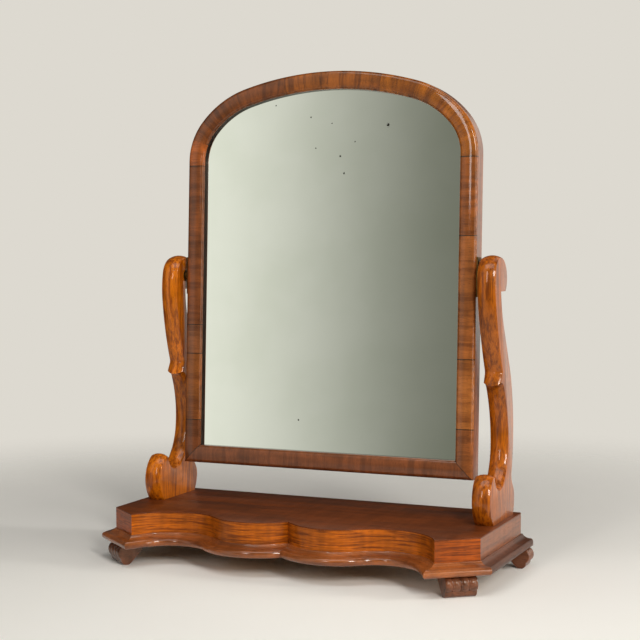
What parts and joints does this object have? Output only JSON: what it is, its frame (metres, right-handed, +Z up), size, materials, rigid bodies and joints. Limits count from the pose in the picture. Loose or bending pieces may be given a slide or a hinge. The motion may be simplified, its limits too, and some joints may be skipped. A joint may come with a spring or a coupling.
{
  "type": "dressing mirror",
  "caption": "Arched dressing mirror that tilts between scrolled supports on a low serpentine platform with scroll feet.",
  "frame": {"origin": "on the floor under the middle of the whole piece's bounding box", "axes": "+Z up, the mirror and the platform's front face -Y, +X to the right as seen from the front"},
  "size_m": [0.6408, 0.2764, 0.7635],
  "materials": {
    "mirror_glass": "silvered plate glass with a little foxing",
    "brass": "dull brass",
    "steel_screws": "plain steel",
    "pine": "bare pine",
    "cross_banding": "French polished walnut, grain across the moulding",
    "platform_veneer": "French polished mahogany veneer",
    "frame_wood": "polished mahogany",
    "support_wood": "French polished mahogany",
    "foot_wood": "dark polished mahogany",
    "moulding_wood": "French polished mahogany"
  },
  "bodies": {
    "platform": {"back_rail": "pine", "base_moulding_cant_left": "moulding_wood", "base_moulding_cant_right": "moulding_wood", "base_moulding_front_left": "moulding_wood", "base_moulding_front_right": "moulding_wood", "base_moulding_side_left": "moulding_wood", "base_moulding_side_right": "moulding_wood", "cant_veneer_left": "platform_veneer", "cant_veneer_right": "platform_veneer", "corner_block_left": "pine", "corner_block_right": "pine", "foot_screws": "steel_screws", "frieze_veneer_left": "platform_veneer", "frieze_veneer_right": "platform_veneer", "front_block_left": "pine", "front_block_right": "pine", "front_foot_left": "foot_wood", "front_foot_right": "foot_wood", "glue_blocks": "pine", "pivot_socket_left": "brass", "pivot_socket_right": "brass", "rear_foot_left": "foot_wood", "rear_foot_right": "foot_wood", "side_rail_left": "pine", "side_rail_right": "pine", "side_veneer_left": "platform_veneer", "side_veneer_right": "platform_veneer", "support_left": "support_wood", "support_right": "support_wood", "support_screws": "steel_screws", "top_board": "pine", "top_veneer": "platform_veneer"},
    "mirror": {"arch_veneer_crown": "cross_banding", "arch_veneer_left": "cross_banding", "arch_veneer_right": "cross_banding", "backboard": "pine", "backboard_pins": "steel_screws", "bottom_rail_veneer": "cross_banding", "frame_arch_left": "frame_wood", "frame_arch_right": "frame_wood", "frame_bottom_rail": "frame_wood", "frame_stile_left": "frame_wood", "frame_stile_right": "frame_wood", "glazing_blocks": "pine", "mirror_glass": "mirror_glass", "pivot_plate_left": "brass", "pivot_plate_right": "brass", "plate_screws": "brass", "stile_veneer_left_foot": "cross_banding", "stile_veneer_left_lower": "cross_banding", "stile_veneer_left_middle": "cross_banding", "stile_veneer_left_upper": "cross_banding", "stile_veneer_right_foot": "cross_banding", "stile_veneer_right_lower": "cross_banding", "stile_veneer_right_middle": "cross_banding", "stile_veneer_right_upper": "cross_banding"}
  },
  "joints": [
    {"name": "mirror_tilt", "type": "hinge", "parent": "platform", "child": "mirror", "pos_m": [0, 0.08469, 0.4425], "axis": [1, 0, 0], "continuous": true}
  ]
}
